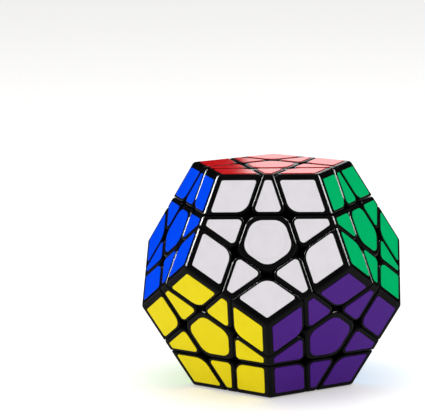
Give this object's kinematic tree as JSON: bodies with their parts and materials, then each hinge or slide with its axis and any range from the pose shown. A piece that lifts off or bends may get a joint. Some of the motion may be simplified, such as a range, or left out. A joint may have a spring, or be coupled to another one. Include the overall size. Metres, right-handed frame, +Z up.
{
  "type": "dodecahedron twisty puzzle",
  "caption": "Dodecahedron twisty puzzle of black plastic pieces with coloured stickers, whose faces turn as layers about a hidden core.",
  "frame": {"origin": "centre of the face it stands on", "axes": "+Z up through the opposite face; -Y towards the front, where a side face of the upper ring leans back"},
  "size_m": [0.0868, 0.0912, 0.0746],
  "materials": {
    "black_plastic": "satin moulded black plastic with softly rounded edges",
    "core_plastic": "satin moulded light grey plastic",
    "steel": "zinc-plated steel",
    "sticker_white": "satin vinyl sticker",
    "sticker_red": "satin vinyl sticker",
    "sticker_green": "satin vinyl sticker",
    "sticker_blue": "satin vinyl sticker",
    "sticker_yellow": "satin vinyl sticker",
    "sticker_purple": "satin vinyl sticker",
    "sticker_cream": "satin vinyl sticker",
    "sticker_pink": "satin vinyl sticker",
    "sticker_sky": "satin vinyl sticker",
    "sticker_grey": "satin vinyl sticker",
    "sticker_lime": "satin vinyl sticker",
    "sticker_orange": "satin vinyl sticker"
  },
  "bodies": {
    "root": {"core_and_fixed_centres": "core_plastic", "corner_green_cream_sky": "black_plastic", "corner_green_purple_sky": "black_plastic", "corner_pink_blue_lime": "black_plastic", "corner_purple_sky_orange": "black_plastic", "corner_white_green_purple": "black_plastic", "edge_blue_lime": "black_plastic", "edge_cream_pink": "black_plastic", "edge_cream_sky": "black_plastic", "edge_green_cream": "black_plastic", "edge_green_purple": "black_plastic", "edge_green_sky": "black_plastic", "edge_lime_orange": "black_plastic", "edge_pink_blue": "black_plastic", "edge_pink_lime": "black_plastic", "edge_purple_orange": "black_plastic", "edge_purple_sky": "black_plastic", "edge_sky_orange": "black_plastic", "edge_white_blue": "black_plastic", "edge_white_green": "black_plastic", "edge_white_purple": "black_plastic", "screw_grey": "steel", "screw_red": "steel", "screw_yellow": "steel"},
    "red_layer": {"centre_red": "black_plastic", "corner_red_cream_pink": "black_plastic", "corner_red_green_cream": "black_plastic", "corner_red_pink_blue": "black_plastic", "corner_red_white_blue": "black_plastic", "corner_red_white_green": "black_plastic", "edge_red_blue": "black_plastic", "edge_red_cream": "black_plastic", "edge_red_green": "black_plastic", "edge_red_pink": "black_plastic", "edge_red_white": "black_plastic", "spring_red": "steel"},
    "yellow_layer": {"centre_yellow": "black_plastic", "corner_blue_yellow_lime": "black_plastic", "corner_white_blue_yellow": "black_plastic", "corner_white_yellow_purple": "black_plastic", "corner_yellow_lime_orange": "black_plastic", "corner_yellow_purple_orange": "black_plastic", "edge_blue_yellow": "black_plastic", "edge_white_yellow": "black_plastic", "edge_yellow_lime": "black_plastic", "edge_yellow_orange": "black_plastic", "edge_yellow_purple": "black_plastic", "spring_yellow": "steel"},
    "grey_layer": {"centre_grey": "black_plastic", "corner_cream_pink_grey": "black_plastic", "corner_cream_sky_grey": "black_plastic", "corner_grey_lime_orange": "black_plastic", "corner_pink_grey_lime": "black_plastic", "corner_sky_grey_orange": "black_plastic", "edge_cream_grey": "black_plastic", "edge_grey_lime": "black_plastic", "edge_grey_orange": "black_plastic", "edge_pink_grey": "black_plastic", "edge_sky_grey": "black_plastic", "spring_grey": "steel"}
  },
  "joints": [
    {"name": "red_turn", "type": "hinge", "parent": "root", "child": "red_layer", "pos_m": [0, 0, 0.0373], "axis": [0, 0, 1], "continuous": true},
    {"name": "yellow_turn", "type": "hinge", "parent": "root", "child": "yellow_layer", "pos_m": [0, 0, 0.0373], "axis": [-0.5257, -0.7236, -0.4472], "continuous": true},
    {"name": "grey_turn", "type": "hinge", "parent": "root", "child": "grey_layer", "pos_m": [0, 0, 0.0373], "axis": [0, 0.8944, -0.4472], "continuous": true}
  ]
}
